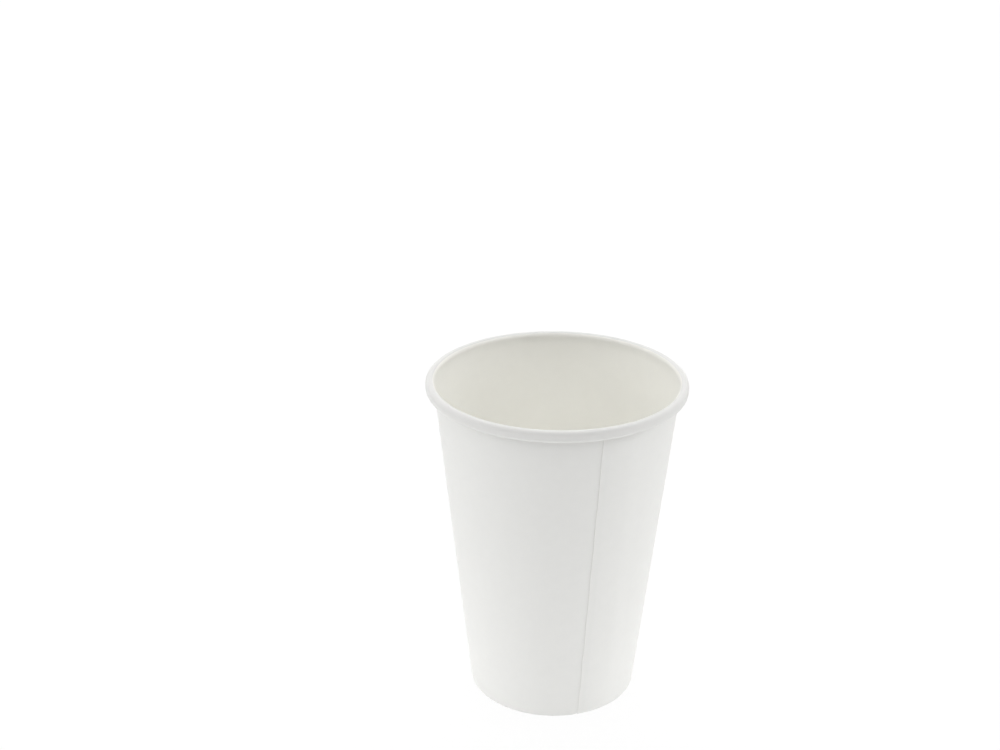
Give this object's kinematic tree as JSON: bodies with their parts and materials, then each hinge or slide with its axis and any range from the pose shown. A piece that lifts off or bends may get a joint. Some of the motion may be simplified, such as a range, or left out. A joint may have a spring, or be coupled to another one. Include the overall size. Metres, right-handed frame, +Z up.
{
  "type": "paper cup",
  "caption": "Tapered round drinking cup of coated paperboard with a rolled rim, a lapped side seam and a bottom disc sealed in a folded foot.",
  "frame": {"origin": "centre of the foot, on the surface that the cup stands on", "axes": "+Z up along the cup's axis, out of the mouth; the picture looks along +Y, with +X to the right"},
  "size_m": [0.0702, 0.0702, 0.0915],
  "materials": {
    "wall_board": "smooth uncoated white board outside, thin clear lining inside",
    "bottom_board": "white board with a thin clear lining on its upper side"
  },
  "bodies": {
    "root": {"side_wall": "wall_board", "bottom_disc": "bottom_board"}
  },
  "joints": []
}
